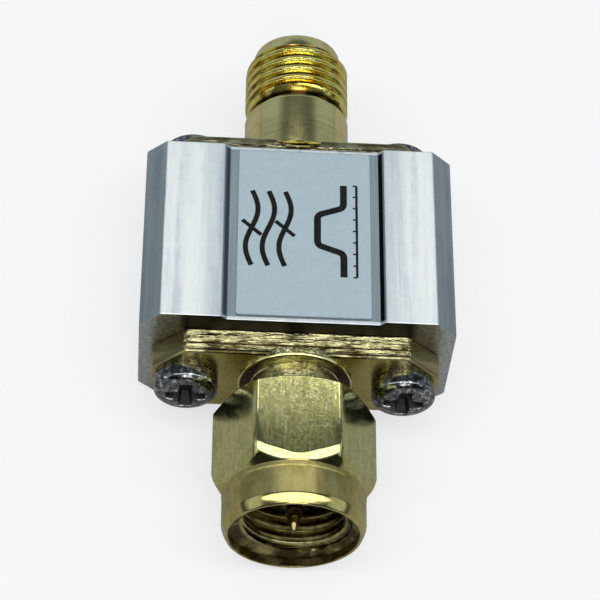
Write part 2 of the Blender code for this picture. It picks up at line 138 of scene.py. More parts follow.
def make_piece(name, shells, body, nodes, materials, smooth_angle=35):
    """One object from shells (points, faces), the k-th in the k-th material, riding on a body.

    Shells that share a ring are welded there. Shading is smooth up to the angle.
    """
    points = np.concatenate([shell[0] for shell in shells])
    starts = np.cumsum([0] + [len(shell[0]) for shell in shells[:-1]])
    faces = [[start + i for i in face] for start, shell in zip(starts.tolist(), shells) for face in shell[1]]
    finish = np.repeat(np.arange(len(shells)) % len(materials), [len(shell[1]) for shell in shells])
    mesh = bpy.data.meshes.new(name)
    mesh.from_pydata(points.tolist(), [], faces)
    mesh.polygons.foreach_set("material_index", finish)
    work = bmesh.new()
    work.from_mesh(mesh)
    bmesh.ops.remove_doubles(work, verts=work.verts, dist=1e-7)
    bmesh.ops.recalc_face_normals(work, faces=work.faces)
    work.to_mesh(mesh)
    work.free()
    mesh.shade_smooth()
    mesh.set_sharp_from_angle(angle=math.radians(smooth_angle))
    for material in materials:
        mesh.materials.append(material)
    piece = bpy.data.objects.new(name, mesh)
    bpy.context.scene.collection.objects.link(piece)
    even = piece.modifiers.new("even_normals", "WEIGHTED_NORMAL")
    even.keep_sharp = True
    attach(piece, body)
    if nodes:
        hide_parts(*nodes)
    return piece


def marks_group(name, outputs):
    """An empty shader node group from a vector to masks; returns it, its vector and its outputs."""
    group = bpy.data.node_groups.new(name, "ShaderNodeTree")
    group.interface.new_socket("Vector", in_out="INPUT", socket_type="NodeSocketVector")
    for label in outputs:
        group.interface.new_socket(label, in_out="OUTPUT", socket_type="NodeSocketFloat")
    given = group.nodes.new("NodeGroupInput")
    made = group.nodes.new("NodeGroupOutput")
    return group, given.outputs["Vector"], made.inputs


def add_node(tree, kind, inputs, **settings):
    """A shader node with its settings, its inputs fed by sockets or values; returns its outputs."""
    node = tree.nodes.new("ShaderNode" + kind)
    for name, value in settings.items():
        setattr(node, name, value)
    for name, value in inputs.items():
        if isinstance(value, bpy.types.NodeSocket):
            tree.links.new(value, node.inputs[name])
        elif value is not None:
            node.inputs[name].default_value = value
    return node.outputs


def math_node(tree, operation, first, second=None, third=None):
    """The result of a Math node."""
    return add_node(tree, "Math", {0: first, 1: second, 2: third}, operation=operation)[0]


def scaled_by(tree, vector, factors):
    """A vector or colour multiplied part by part."""
    return add_node(tree, "VectorMath", {0: vector, 1: factors}, operation="MULTIPLY")[0]


def noise(tree, vector, scale, detail=2.0, roughness=0.5, stretch=(1, 1, 1)):
    """Noise on a vector multiplied axis by axis by stretch; returns its 0 to 1 value."""
    inputs = {"Scale": scale, "Detail": detail, "Roughness": roughness}
    return add_node(tree, "TexNoise", {"Vector": scaled_by(tree, vector, stretch), **inputs})["Fac"]


def ramp(tree, value, stops):
    """A colour ramp through (place, colour) stops; returns its colour output."""
    node = tree.nodes.new("ShaderNodeValToRGB")
    elements = node.color_ramp.elements
    while len(elements) < len(stops):
        elements.new(0.5)
    for element, (place, colour) in zip(elements, stops):
        element.position = place
        element.color = (*colour, 1)
    tree.links.new(value, node.inputs["Fac"])
    return node.outputs["Color"]


def new_finish(name, metallic, roughness):
    """A material with a Principled BSDF; returns it with its tree, shader and object coordinates."""
    material = bpy.data.materials.new(name)
    material.use_nodes = True
    tree = material.node_tree
    shader = tree.nodes["Principled BSDF"]
    shader.inputs["Metallic"].default_value = metallic
    shader.inputs["Roughness"].default_value = roughness
    return material, tree, shader, add_node(tree, "TexCoord", {})["Object"]


def dress(tree, shader, colour, rough, height, depth, strength=1.0):
    """Feeds a shader a colour, a roughness or None, and a relief whose whole range is depth deep, or 0."""
    tree.links.new(colour, shader.inputs["Base Color"])
    if rough:
        tree.links.new(rough, shader.inputs["Roughness"])
    if depth:
        relief = {"Strength": strength, "Distance": depth, "Height": height}
        tree.links.new(add_node(tree, "Bump", relief)["Normal"], shader.inputs["Normal"])


def weighted(tree, value, weight, rest):
    """value * weight + rest."""
    return math_node(tree, "MULTIPLY_ADD", value, weight, rest)


def product(tree, first, *others):
    """The product of masks or values."""
    for other in others:
        first = math_node(tree, "MULTIPLY", first, other)
    return first


def distance_from(tree, value, middle):
    """How far a value lies from a middle, either way."""
    return math_node(tree, "ABSOLUTE", math_node(tree, "SUBTRACT", value, middle))


def axes_of(tree, vector):
    """The X, Y and Z sockets of a vector."""
    return add_node(tree, "SeparateXYZ", {0: vector})


def beyond(tree, value, limit):
    """1 where a value is greater than a limit and 0 elsewhere."""
    return math_node(tree, "GREATER_THAN", value, limit)


def smooth_step(tree, value, start, end):
    """0 at start, 1 at end and eased between them; start may be the greater."""
    span = {"Value": value, "From Min": start, "From Max": end}
    return add_node(tree, "MapRange", span, interpolation_type="SMOOTHSTEP")["Result"]


def blend_colours(tree, factor, first, second):
    """Colour mix of first and second by factor; each is a socket or a plain colour."""
    sides = [c if isinstance(c, bpy.types.NodeSocket) else (*c, 1) for c in (first, second)]
    return add_node(tree, "Mix", {"Factor": factor, 6: sides[0], 7: sides[1]}, data_type="RGBA")[2]


def drawn_lines_group():
    """Lines left by a die along Y: broad soft bands broken into blotches, fine scratches, and a height."""
    group, vector, made = marks_group("drawn_lines", ("Bands", "Scratches", "Height"))
    long_bands = noise(group, vector, 1500, 4.0, 0.65, stretch=(1, 0.03, 1))
    blotches = noise(group, vector, 1900, 5.0, 0.75, stretch=(1, 0.3, 1))
    bands = weighted(group, long_bands, 0.72, product(group, blotches, 0.28))
    scratches = noise(group, vector, 9000, 3.0, 0.7, stretch=(1, 0.012, 1))
    group.links.new(bands, made["Bands"])
    group.links.new(scratches, made["Scratches"])
    group.links.new(weighted(group, bands, 0.9, scratches), made["Height"])
    return group


drawn_lines = drawn_lines_group()
land_shades = (
    (0.38, (0.70, 0.74, 0.79)),
    (0.46, (0.86, 0.87, 0.90)),
    (0.53, (0.92, 0.96, 0.95)),
    (0.62, (1.0, 1.0, 0.99)),
)
# Painted shade: the channel's walls are painted dark grey on the left and near black on the right.
channel_wall_shade = (0.12, 0.15, 0.17)
right_wall_shade = (0.006, 0.007, 0.008)
# Painted shade: the sawn ends are painted dark, darkest just above and below the flanges.
end_shade = (0.026, 0.022, 0.017)
sawn_reach = 0.03 * mm
floor_margin = 0.05 * mm
bevel_margin = 0.02 * mm
shaded_reach = (channel_half + 1.3 * mm, channel_half + 0.7 * mm)
shaded_end_width = (6.9 * mm, 6.2 * mm)
shaded_end_height = 2.8 * mm
# The sawn ends turn lighter and bluer towards the sides.
light_side_width = (7.4 * mm, 8.5 * mm)


def aluminium_finish():
    """Bright drawn lands, bevels painted darker as shade, a darker channel with painted shade on its walls,
    sawn ends.

    The ends are where |y - middle| comes within sawn_reach of the half length. The channel is where z is
    above its floor and |x - shift| is under its half width, and its walls are the outer part of that.
    The walls are painted dark, painted shade, grey along their top and near black on the right wall.
    The lands are a little darker next to the channel, painted shade. The sawn ends are painted dark over a
    saw grain, painted shade that is darkest just above and below the flanges and lighter and bluer towards
    the sides.
    """
    material, tree, shader, place = new_finish("drawn_aluminium", 1.0, 0.4)
    lines = add_node(tree, "Group", {"Vector": place}, node_tree=drawn_lines)
    bands, scratches = lines["Bands"], lines["Scratches"]
    axes = axes_of(tree, place)
    from_middle = distance_from(tree, axes["Y"], housing_middle.y)
    sawn = beyond(tree, from_middle, housing_half.y - sawn_reach)
    across = math_node(tree, "SUBTRACT", axes["X"], channel_shift)
    from_line = math_node(tree, "ABSOLUTE", across)
    off_middle = math_node(tree, "ABSOLUTE", axes["X"])
    off_axis = distance_from(tree, axes["Z"], axis_z)
    inside = math_node(tree, "LESS_THAN", from_line, channel_half)
    sunk = beyond(tree, axes["Z"], housing_high.z - channel_depth - floor_margin)
    label_end = (label_high.y - label_low.y) / 2 + 0.12 * mm
    under_label = math_node(tree, "LESS_THAN", from_middle, label_end)
    channel = product(tree, inside, sunk, under_label)
    wall = product(tree, beyond(tree, from_line, channel_half - channel_run), channel)
    wall_top = product(tree, beyond(tree, from_line, channel_half - 0.3 * channel_run), channel)
    drawn = ramp(tree, bands, land_shades)
    # Painted shade: the lands are painted a little darker next to the channel.
    channel_side_shade = smooth_step(tree, from_line, *shaded_reach)
    drawn = blend_colours(tree, channel_side_shade, drawn, scaled_by(tree, drawn, (0.80, 0.82, 0.84)))
    # Painted shade: the long bevels are painted darker than the lands, though of the same metal.
    shaded_bevel = ramp(tree, bands, ((0.38, (0.40, 0.47, 0.51)), (0.62, (0.62, 0.67, 0.69))))
    off_land = beyond(tree, off_middle, housing_half.x - long_chamfer + bevel_margin)
    drawn = blend_colours(tree, off_land, drawn, shaded_bevel)
    # The channel floor is a darker grey than the lands.
    channel_tone = ramp(tree, scratches, ((0.3, (0.22, 0.27, 0.30)), (0.7, (0.36, 0.42, 0.45))))
    # Painted shade on the channel's walls, dark at the foot and grey along the top.
    wall_shade = blend_colours(tree, beyond(tree, across, 0), channel_wall_shade, right_wall_shade)
    channel_tone = blend_colours(tree, wall, channel_tone, wall_shade)
    channel_tone = blend_colours(tree, wall_top, channel_tone, (0.34, 0.38, 0.40))
    grain = noise(tree, place, 3800, 4.0, 0.7)
    # The sawn ends: a saw grain painted dark as shade.
    saw_grain_and_shade = ramp(tree, grain, ((0.35, (0.18, 0.16, 0.11)), (0.7, (0.50, 0.47, 0.36))))
    shaded_end = beyond(tree, off_axis, shaded_end_height)
    shaded_end = product(tree, smooth_step(tree, off_middle, *shaded_end_width), shaded_end)
    saw_grain_and_shade = blend_colours(tree, shaded_end, saw_grain_and_shade, end_shade)
    light_side = product(tree, smooth_step(tree, off_middle, *light_side_width), grain)
    saw_grain_and_shade = blend_colours(tree, light_side, saw_grain_and_shade, (0.80, 0.88, 0.92))
    colour = blend_colours(tree, sawn, blend_colours(tree, channel, drawn, channel_tone), saw_grain_and_shade)
    rough = weighted(tree, scratches, 0.22, 0.3)
    dress(tree, shader, colour, rough, lines["Height"], 0.006 * mm, 0.6)
    return material


aluminium = aluminium_finish()


def section_at(section, y):
    """A ring at a place along Y from (x, z) points measured from the axis."""
    return np.column_stack([section[:, 0], np.full(len(section), y), section[:, 1] + axis_z])


def housing_rings():
    """Outer sections from front to back, then the cavity from back to front, point for point.

    A cavity point lies on the same ray from the axis as its outer point: its distance is the lesser of
    half width / |cos| and half height / |sin|.
    """
    x, z, c = housing_half.x, housing_half.z, long_chamfer
    floor = z - channel_depth
    foot = channel_half - channel_run
    right = [(x - c, -z), (x, -z + c), (x, z - c), (x - c, z)]
    left = [(-px, pz) for px, pz in reversed(right)]
    channel = np.array([(channel_half, z), (foot, floor), (-foot, floor), (-channel_half, z)])
    outline = rounded_outline(right + (channel + (channel_shift, 0)).tolist() + left, housing_edge)
    angle = np.arctan2(outline[:, 1], outline[:, 0])
    reach = np.minimum(
        cavity_half_width / np.maximum(np.abs(np.cos(angle)), 1e-6),
        cavity_half_height / np.maximum(np.abs(np.sin(angle)), 1e-6),
    )
    cavity = np.stack([reach * np.cos(angle), reach * np.sin(angle)], axis=1)
    front, back = housing_low.y, housing_high.y
    turn = np.linspace(0, math.pi / 2, 4)
    inset = housing_edge * (1 - np.sin(turn))
    back_off = housing_edge * (1 - np.cos(turn))
    stations = [(front + b, i) for b, i in zip(back_off, inset)]
    stations += [(back - (y - front), i) for y, i in reversed(stations)]
    rings = [section_at(outline * (1 - i / np.array([x, z])), y) for y, i in stations]
    return rings + [section_at(cavity, back), section_at(cavity, front)]


make_piece(
    "housing_shell",
    [skin(housing_rings(), loop=True)],
    "module",
    ["housing"],
    [aluminium],
)

# Label: a thin satin foil plate bedded in the channel, blank but for a filter symbol and a pass curve
# printed in black. It is stuck down, so its edges stand a little above the channel floor.
label_corner = 0.15 * mm
ink_lift = 0.004 * mm


def grained_finish(
    name,
    metallic,
    roughness,
    scale,
    dark,
    light,
    relief=0.004 * mm,
    strength=0.5,
    detail=3.0,
    span=(0.3, 0.7),
):
    """A finish whose colour wanders between two shades over a span of noise, with a fine relief or none."""
    material, tree, shader, place = new_finish(name, metallic, roughness)
    grain = noise(tree, place, scale, detail)
    colour = ramp(tree, grain, ((span[0], dark), (span[1], light)))
    dress(tree, shader, colour, None, grain, relief, strength)
    return material


label_foil = grained_finish(
    "label_foil",
    0.0,
    0.42,
    2500,
    (0.425, 0.515, 0.565),
    (0.455, 0.545, 0.595),
    relief=0.002 * mm,
    strength=0.4,
    span=(0.35, 0.65),
)
ink = grained_finish("black_ink", 0.0, 0.5, 6000, (0.008, 0.008, 0.009), (0.02, 0.02, 0.022), 0, detail=2.0)
ink.node_tree.nodes["Principled BSDF"].inputs["Specular IOR Level"].default_value = 0.06


def plate_rings(low, high, corner, edge):
    """Rings of a flat plate in the XY plane: rounded corners, and a top edge rounded by edge."""
    outline = rounded_outline([(low.x, low.y), (high.x, low.y), (high.x, high.y), (low.x, high.y)], corner, 5)
    middle = np.array([(low.x + high.x) / 2, (low.y + high.y) / 2])
    half = np.array([(high.x - low.x) / 2, (high.y - low.y) / 2])
    rings = []
    for z, inset in ((low.z, 0), (high.z - edge, 0), (high.z - 0.3 * edge, 0.3 * edge), (high.z, edge)):
        section = middle + (outline - middle) * (1 - inset / half)
        rings.append(np.column_stack([section, np.full(len(section), z)]))
    return rings


def stroke(path, width, z):
    """A flat ribbon of the given width along a path of (x, y) points, as a thin closed shell."""
    path = np.asarray(path, float)
    along = np.gradient(path, axis=0)
    along /= np.linalg.norm(along, axis=1)[:, None]
    side = np.stack([-along[:, 1], along[:, 0]], axis=1) * width / 2
    height = np.full((len(path), 1), z)
    low = np.full((len(path), 1), z - ink_lift)
    rings = np.stack(
        [
            np.hstack([path + side, low]),
            np.hstack([path - side, low]),
            np.hstack([path - side, height]),
            np.hstack([path + side, height]),
        ],
        axis=1,
    )
    return skin(rings)


def rounded_path(points, radius, steps=7):
    """An open path with its inner corners rounded."""
    bends = rounded_corners(points[:-2], points[1:-1], points[2:], radius, steps)
    return np.vstack([points[:1], bends, points[-1:]])


def label_print():
    """The filter symbol is three waves, y = a sin(2 pi x / length), the outer two struck through.

    The pass curve is flat at the foot, flat at the top between its two skirts, over a base line with
    short ticks. All of it reads from the label's left side, as the print runs along the housing.
    """
    z = label_high.z + ink_lift
    centre = (label_low + label_high) / 2
    print_middle = centre.y + 0.2 * mm
    wave_middle = centre.x - 2.05 * mm
    wave_gap = 0.95 * mm
    wave_height = 0.34 * mm
    wave_length = 5.2 * mm
    shells = []
    along = np.linspace(-0.5, 0.5, 60)
    for row in (-1, 0, 1):
        x = wave_middle + row * wave_gap
        wave = x + wave_height * np.sin(2 * math.pi * along)
        shells.append(stroke(np.column_stack([wave, print_middle + along * wave_length]), 0.3 * mm, z))
        if row:
            slash = np.array([-1, 1])[:, None] * np.array([0.55, -0.5]) * mm
            shells.append(stroke(np.array([x, print_middle]) + slash, 0.24 * mm, z + ink_lift))
    foot = centre.x + 2.25 * mm
    top = centre.x + 0.75 * mm
    ends = print_middle + np.array([-3.2, -1.6, -1.05, 1.05, 1.6, 3.2]) * mm
    levels = np.array([foot, foot, top, top, foot, foot])
    shells.append(stroke(rounded_path(np.column_stack([levels, ends]), 0.3 * mm), 0.4 * mm, z))
    base = foot + 0.75 * mm
    tick_length = 0.22 * mm
    shells.append(stroke([(base, ends[0]), (base, ends[-1])], 0.14 * mm, z))
    for tick in np.linspace(ends[0], ends[-1], 9):
        shells.append(stroke([(base - tick_length, tick), (base, tick)], 0.1 * mm, z + ink_lift))
    return shells


make_piece(
    "label_plate",
    [skin(plate_rings(label_low, label_high, label_corner, 0.04 * mm))],
    "module",
    ["label"],
    [label_foil],
)
make_piece("label_print", label_print(), "module", [], [ink])

# Socket body: flange, smooth base, relief, threaded barrel and nose, turned and milled from one brass
# bar and gold plated. Two screws clamp the flange to the housing.
socket_low, socket_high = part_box("socket_body")
flange_thickness = 1.5 * mm
flange_half_width = (socket_high.x - socket_low.x) / 2
flange_half_height = 2.85 * mm
flange_corner = 1.9 * mm
flange_edge = 0.17 * mm
tool_line = 0.6 * flange_thickness
tool_line_floor = 0.02 * mm
tool_line_edge = 0.06 * mm
tool_line_depth = 0.05 * mm
thread_pitch = 25.4 / 36 * mm
thread_radius = 3.125 * mm
thread_depth = 0.34 * mm
body_bore = 2.07 * mm
seat_gap = 0.02 * mm
edge_break = 0.12 * mm
socket_face = socket_low.y


def full_turn(around):
    """Angles at even steps round a circle."""
    return np.arange(around) / around * 2 * math.pi


def turned_rings(rows, angle, start=0.0, outward=1, centre_x=0.0):
    """Rings of a shape round the Y direction, from rows (radius, height), numbers or one for each angle.

    An angle a is measured from +Z towards +X, so x = r sin a and z = r cos a from the centre, and
    y = start + outward * height.
    """
    rings = np.empty((len(rows), len(angle), 3))
    for ring, (radius, height) in zip(rings, rows):
        ring[:, 0] = centre_x + radius * np.sin(angle)
        ring[:, 1] = start + outward * height
        ring[:, 2] = axis_z + radius * np.cos(angle)
    return rings


def tube(rings):
    """A skin that is open at both ends."""
    return skin(rings, first_cap=False, last_cap=False)


def broken_edge(radius, height):
    """Three rows over an outer edge that is cut back by the edge break."""
    shares = ((0, 1), (0.3, 0.3), (1, 0))
    return [(radius - a * edge_break, height - b * edge_break) for a, b in shares]


thread_profile = np.array(
    [(0, 0), (0.08, 0), (0.11, 0.06), (0.255, 0.86), (0.28, 0.96), (0.32, 1)]
    + [(0.5, 1), (0.68, 1), (0.72, 0.96), (0.745, 0.86), (0.89, 0.06), (0.92, 0)]
)


def threaded_band(radius_of, start, end, angle):
    """A right-hand thread from start to end along Y, on rows that climb with it.

    Row j begins at start + (turn + share of a turn) * pitch, and a point at angle a lies
    pitch * ((a - first a) / 2 pi - 1) further on, kept between start and end. The row's last point
    joins the first point of the row one turn later. radius_of(share, y) gives the radius, share being
    0 in the root and 1 on the crest.
    """
    steps = len(thread_profile)
    turns = math.ceil((end - start) / thread_pitch) + 2
    base = (start + (np.arange(turns)[:, None] + thread_profile[:, 0]) * thread_pitch).reshape(-1)
    share = np.tile(thread_profile[:, 1], turns)[:, None]
    climb = thread_pitch * ((angle - angle[0]) / (2 * math.pi) - 1)
    y = np.clip(base[:, None] + climb, start, end)
    radius = radius_of(share, y)
    points = np.stack([radius * np.sin(angle), y, radius * np.cos(angle) + axis_z], axis=-1)
    rows, around = y.shape
    index = np.arange(rows * around).reshape(rows, around)
    wrap = index[np.minimum(np.arange(rows) + steps, rows - 1), 0]
    after = np.column_stack([index[:, 1:], wrap])
    quads = np.stack([index[:-1], after[:-1], after[1:], index[1:]], axis=-1)
    return points.reshape(-1, 3), quads.reshape(-1, 4).tolist()


def flange_shells(face, outward):
    """The flange plate from the housing outwards, and its outer face as a shell of its own.

    Its corners are cut and its edges broken. A fine tool line runs along its two long sides.
    """
    x, z, c = flange_half_width, flange_half_height, flange_corner
    corners = [(x, -z + c), (x, z - c), (x - c, z), (-x + c, z)]
    corners += [(-px, -pz) for px, pz in corners]
    outline = rounded_outline(corners, 0.15 * mm)
    rings = []
    back_edge = 0.4 * flange_edge
    long_side = (np.abs(outline[:, 0]) < x - c - 0.05 * mm)[:, None]
    steps = (
        (seat_gap, back_edge),
        (seat_gap + 0.3 * back_edge, 0.3 * back_edge),
        (seat_gap + back_edge, 0),
        (tool_line - tool_line_edge, 0),
        (tool_line - tool_line_floor, tool_line_depth),
        (tool_line + tool_line_floor, tool_line_depth),
        (tool_line + tool_line_edge, 0),
        (flange_thickness - flange_edge, 0),
        (flange_thickness - 0.3 * flange_edge, 0.3 * flange_edge),
        (flange_thickness, flange_edge),
    )
    for height, inset in steps:
        inset = inset * long_side if abs(height - tool_line) < tool_line_edge / 2 else inset
        rings.append(section_at(outline * (1 - inset / np.array([x, z])), face + outward * height))
    return skin(rings, last_cap=False), skin(rings[-1:], first_cap=False)


base_end = socket_face + flange_thickness + 3.17 * mm
relief_end = base_end + 0.38 * mm
relief_radius = thread_radius - 0.42 * mm
socket_thread_end = relief_end + 3.5 * mm
nose_radius = 2.625 * mm
nose_start = socket_thread_end + 0.45 * mm


def socket_barrel():
    """Rows from the nose inwards through the bore, then the flange side, the base and the relief."""
    tip = socket_high.y
    mouth = 2.3 * mm
    mouth_edge = 0.08 * mm
    plane = tip - 1.9 * mm
    root = socket_face + flange_thickness - 0.3 * mm
    rows = [
        (nose_radius, nose_start),
        *broken_edge(nose_radius, tip),
        (mouth + mouth_edge, tip),
        (mouth, tip - mouth_edge),
        (mouth, plane),
        (body_bore, plane),
        (body_bore, root),
        (thread_radius, root),
        *broken_edge(thread_radius, base_end),
        (relief_radius, base_end),
        (relief_radius, relief_end),
    ]
    return turned_rings(rows, full_turn(120))


def socket_thread():
    """The crest is cut back by a cone at each end: 44 degrees out of the relief, 48 on to the nose."""
    relief_slope = 0.95
    nose_slope = 1.1

    def radius_of(share, y):
        crest = thread_radius - thread_depth * (1 - share)
        from_relief = relief_radius + (y - relief_end) * relief_slope
        from_nose = nose_radius + (nose_start - y) * nose_slope
        return np.minimum(crest, np.minimum(from_relief, from_nose))

    return threaded_band(radius_of, relief_end, nose_start, full_turn(120))


def plating_group():
    """Marks in gold-plated brass: turning rings, lengthwise scratches, lines across, waves, grain, stains.

    Each is noise on coordinates stretched along the way that the marks run.
    """
    marks = (
        ("Rings", (0.02, 1, 0.02), 14000, 2.0),
        ("Scratches", (1, 0.04, 1), 9000, 3.0),
        ("Across", (0.2, 1, 1), 4800, 3.0),
        ("Waves", (1, 0.5, 1), 2400, 2.0),
        ("Grain", (1, 1, 1), 6500, 3.0),
        ("Stain", (1, 1, 1), 600, 3.0),
    )
    group, vector, made = marks_group("plating_marks", [mark[0] for mark in marks])
    for label, stretch, scale, detail in marks:
        group.links.new(noise(group, vector, scale, detail, 0.6, stretch), made[label])
    return group


plating_marks = plating_group()


def from_axis(tree, place):
    """Distance of a point from the connectors' axis, the square root of x^2 + (z - axis)^2."""
    axes = axes_of(tree, place)
    height = math_node(tree, "SUBTRACT", axes["Z"], axis_z)
    square = product(tree, height, height)
    square = weighted(tree, axes["X"], axes["X"], square)
    return math_node(tree, "SQRT", square)


def gold_finish(
    name,
    marks,
    depth,
    roughness,
    dark,
    light,
    span=(0.7, 1.0),
    stain=0.8,
    roots=None,
    flanks=None,
    specks=False,
):
    """Gold plate over marks of the given weights, its colour drifting between two shades over a span.

    stain is the weight of the broad patches. Half of what it lacks of 0.8 is added, so the span holds.
    roots is (radius of the root, radius of the crest, dark tone, lighter tone) of a thread whose roots are
    darkened, partly dirt and partly painted shade, and flanks is (light to, dark from, dark tone) of a face
    painted darker away from its middle, a painted shade and dark reflection.
    """
    material, tree, shader, place = new_finish(name, 1.0, roughness)
    plating = add_node(tree, "Group", {"Vector": place}, node_tree=plating_marks)
    height = 0.0
    patch = weighted(tree, plating["Stain"], stain, 0.5 * (0.8 - stain))
    total = sum(marks.values())
    for label, weight in marks.items():
        height = weighted(tree, plating[label], weight, height)
        patch = weighted(tree, plating[label], weight / total, patch)
    colour = ramp(tree, patch, ((span[0], dark), (span[1], light)))
    if specks:
        bright = smooth_step(tree, noise(tree, place, 7500, 0.0, stretch=(1, 0.6, 1)), 0.73, 0.79)
        colour = blend_colours(tree, bright, colour, (0.90, 0.86, 0.60))
    # Roots darkened towards the root radius: partly dirt, partly painted shade.
    if roots:
        root, crest, dark_tone, lighter_tone = roots
        off_root = smooth_step(tree, from_axis(tree, place), root, crest)
        root_tone = ramp(tree, plating["Stain"], ((0.45, dark_tone), (0.62, lighter_tone)))
        colour = blend_colours(tree, off_root, root_tone, colour)
    # Painted shade: the face is painted darker away from its middle.
    if flanks:
        light_to, dark_from, dark_tone = flanks
        off_middle = math_node(tree, "ABSOLUTE", axes_of(tree, place)["X"])
        colour = blend_colours(tree, smooth_step(tree, off_middle, light_to, dark_from), colour, dark_tone)
    rough = weighted(tree, plating["Grain"], 0.7 * roughness, 0.65 * roughness)
    dress(tree, shader, colour, rough, height, depth, 0.8)
    return material


def gold_shades(share):
    """Dark and light gold for a plating, both scaled by a share."""
    return [tuple(share * c for c in colour) for colour in ((0.62, 0.49, 0.15), (0.82, 0.71, 0.28))]


cutter_pitch = 0.32 * mm
cutter_depth = 0.1 * mm


def milled_finish(name, dark, light):
    """Cutter marks along a flange's two long sides, a tool line among them painted dark as shade, and plain
    plate round them.

    The marks are steps that fall away from the housing: their height is 1 less the fraction of
    distance / pitch + wander, wander being noise drawn out along X. The colour is a patchy noise that
    darkens with the distance from the housing.
    """
    material, tree, shader, place = new_finish(name, 1.0, 0.2)
    axes = axes_of(tree, place)
    on_side = beyond(tree, distance_from(tree, axes["Z"], axis_z), flange_half_height - 0.12 * mm)
    out = distance_from(tree, axes["Y"], housing_middle.y)
    out = math_node(tree, "SUBTRACT", out, housing_half.y)
    inward = smooth_step(tree, out, flange_thickness - 0.25 * mm, flange_thickness - 0.35 * mm)
    wander = noise(tree, place, 2800, 3.0, 0.6, stretch=(0.16, 1, 1))
    steps = weighted(tree, wander, 2.6, math_node(tree, "DIVIDE", out, cutter_pitch))
    steps = math_node(tree, "SUBTRACT", 1.0, math_node(tree, "FRACT", steps))
    patch = noise(tree, place, 4800, 4.0, 0.7, stretch=(0.2, 1, 1))
    patch = weighted(tree, noise(tree, place, 700), 0.7, patch)
    patch = weighted(tree, out, -0.08 / mm, patch)
    marked = ramp(tree, patch, ((0.66, dark), (0.92, light)))
    colour = blend_colours(tree, on_side, (0.46, 0.39, 0.19), marked)
    from_line = distance_from(tree, out, tool_line)
    on_line = product(tree, on_side, smooth_step(tree, from_line, tool_line_edge, tool_line_edge / 2))
    # Painted shade: the tool line is painted dark.
    colour = blend_colours(tree, on_line, colour, (0.06, 0.04, 0.015))
    dress(tree, shader, colour, None, product(tree, on_side, inward, steps), cutter_depth)
    return material


milled_gold = milled_finish("milled_gold_plate", (0.07, 0.055, 0.02), (0.66, 0.60, 0.31))
# Painted shade: the far flange's copy of the milled plate has less contrast and a lower light shade.
shaded_rear_milled_gold = milled_finish("rear_milled_gold_plate", (0.22, 0.19, 0.09), (0.62, 0.57, 0.34))
turned_gold = gold_finish(
    "turned_gold_plate",
    {"Rings": 0.4, "Grain": 0.15},
    0.002 * mm,
    0.1,
    (0.72, 0.60, 0.23),
    (0.95, 0.85, 0.40),
)
faced_gold = gold_finish("faced_gold_plate", {"Grain": 0.6}, 0.006 * mm, 0.26, *gold_shades(0.8))
thread_gold = gold_finish(
    "thread_gold_plate",
    {"Grain": 0.6, "Waves": 1.0},
    0.009 * mm,
    0.17,
    (0.82, 0.50, 0.035),
    (1.0, 0.90, 0.28),
    # The roots are darkened, partly dirt and partly painted shade.
    roots=(
        thread_radius - 0.92 * thread_depth,
        thread_radius - 0.48 * thread_depth,
        (0.05, 0.022, 0.005),
        (0.16, 0.075, 0.01),
    ),
)

make_piece(
    "socket_shell",
    [
        tube(socket_barrel()),
        *flange_shells(socket_face, 1),
        socket_thread(),
    ],
    "module",
    ["socket_body"],
    [turned_gold, shaded_rear_milled_gold, faced_gold, thread_gold],
    30,
)

# Insulators and centre contacts: white PTFE bushes, a slit socket contact at the far end and a solid
# pin at the near end, both turned and gold plated.
insulator_edge = 0.06 * mm


def refinish(material, *nodes):
    """Gives CAD nodes that stay as they are their finish."""
    for node in nodes:
        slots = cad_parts[node].data.materials
        slots.clear()
        slots.append(material)


ptfe = grained_finish("ptfe", 0.0, 0.45, 1500, (0.78, 0.78, 0.74), (0.88, 0.88, 0.85))
ptfe_shader = ptfe.node_tree.nodes["Principled BSDF"]
ptfe_shader.inputs["Subsurface Weight"].default_value = 0.15
ptfe_shader.inputs["Subsurface Scale"].default_value = 0.5 * mm
# Painted shade: the contacts' gold is painted dark, as they sit deep in their bores.
contact_gold = gold_finish(
    "contact_gold",
    {"Rings": 0.4, "Grain": 0.2},
    0.002 * mm,
    0.06,
    (0.24, 0.19, 0.08),
    (0.34, 0.28, 0.12),
)


def bush(name, node, bore):
    """A PTFE bush as wide and long as its solid, bored through, its outer edges eased."""
    low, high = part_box(node)
    outer = (high.x - low.x) / 2
    rows = [
        (bore, low.y),
        (outer - insulator_edge, low.y),
        (outer, low.y + insulator_edge),
        (outer, high.y - insulator_edge),
        (outer - insulator_edge, high.y),
        (bore, high.y),
    ]
    rings = turned_rings(rows, full_turn(64))
    make_piece(name, [skin(rings, loop=True)], "module", [node], [ptfe])


bush("socket_bush", "socket_insulator", 0.66 * mm)
bush("plug_bush", "plug_insulator", 0.66 * mm)

pin_low, pin_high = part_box("centre_pin")
pin_radius = 0.455 * mm
pin_shoulder = pin_low.y + 2.75 * mm
pin_shoulder_radius = 0.635 * mm
pin_tail = pin_high.y - 2.0 * mm
pin_tail_radius = 0.45 * mm
pin_rows = [
    (0.03 * mm, pin_low.y),
    (0.08 * mm, pin_low.y + 0.02 * mm),
    (0.14 * mm, pin_low.y + 0.12 * mm),
    (0.435 * mm, pin_low.y + 0.98 * mm),
    (pin_radius, pin_low.y + 1.1 * mm),
    (pin_radius, pin_shoulder),
    (pin_shoulder_radius, pin_shoulder),
    (pin_shoulder_radius, pin_tail),
    (pin_tail_radius, pin_tail),
    (pin_tail_radius, pin_high.y),
]
make_piece(
    "plug_pin",
    [skin(turned_rings(pin_rows, full_turn(48)))],
    "module",
    ["centre_pin"],
    [contact_gold],
)
refinish(contact_gold, "socket_contact")

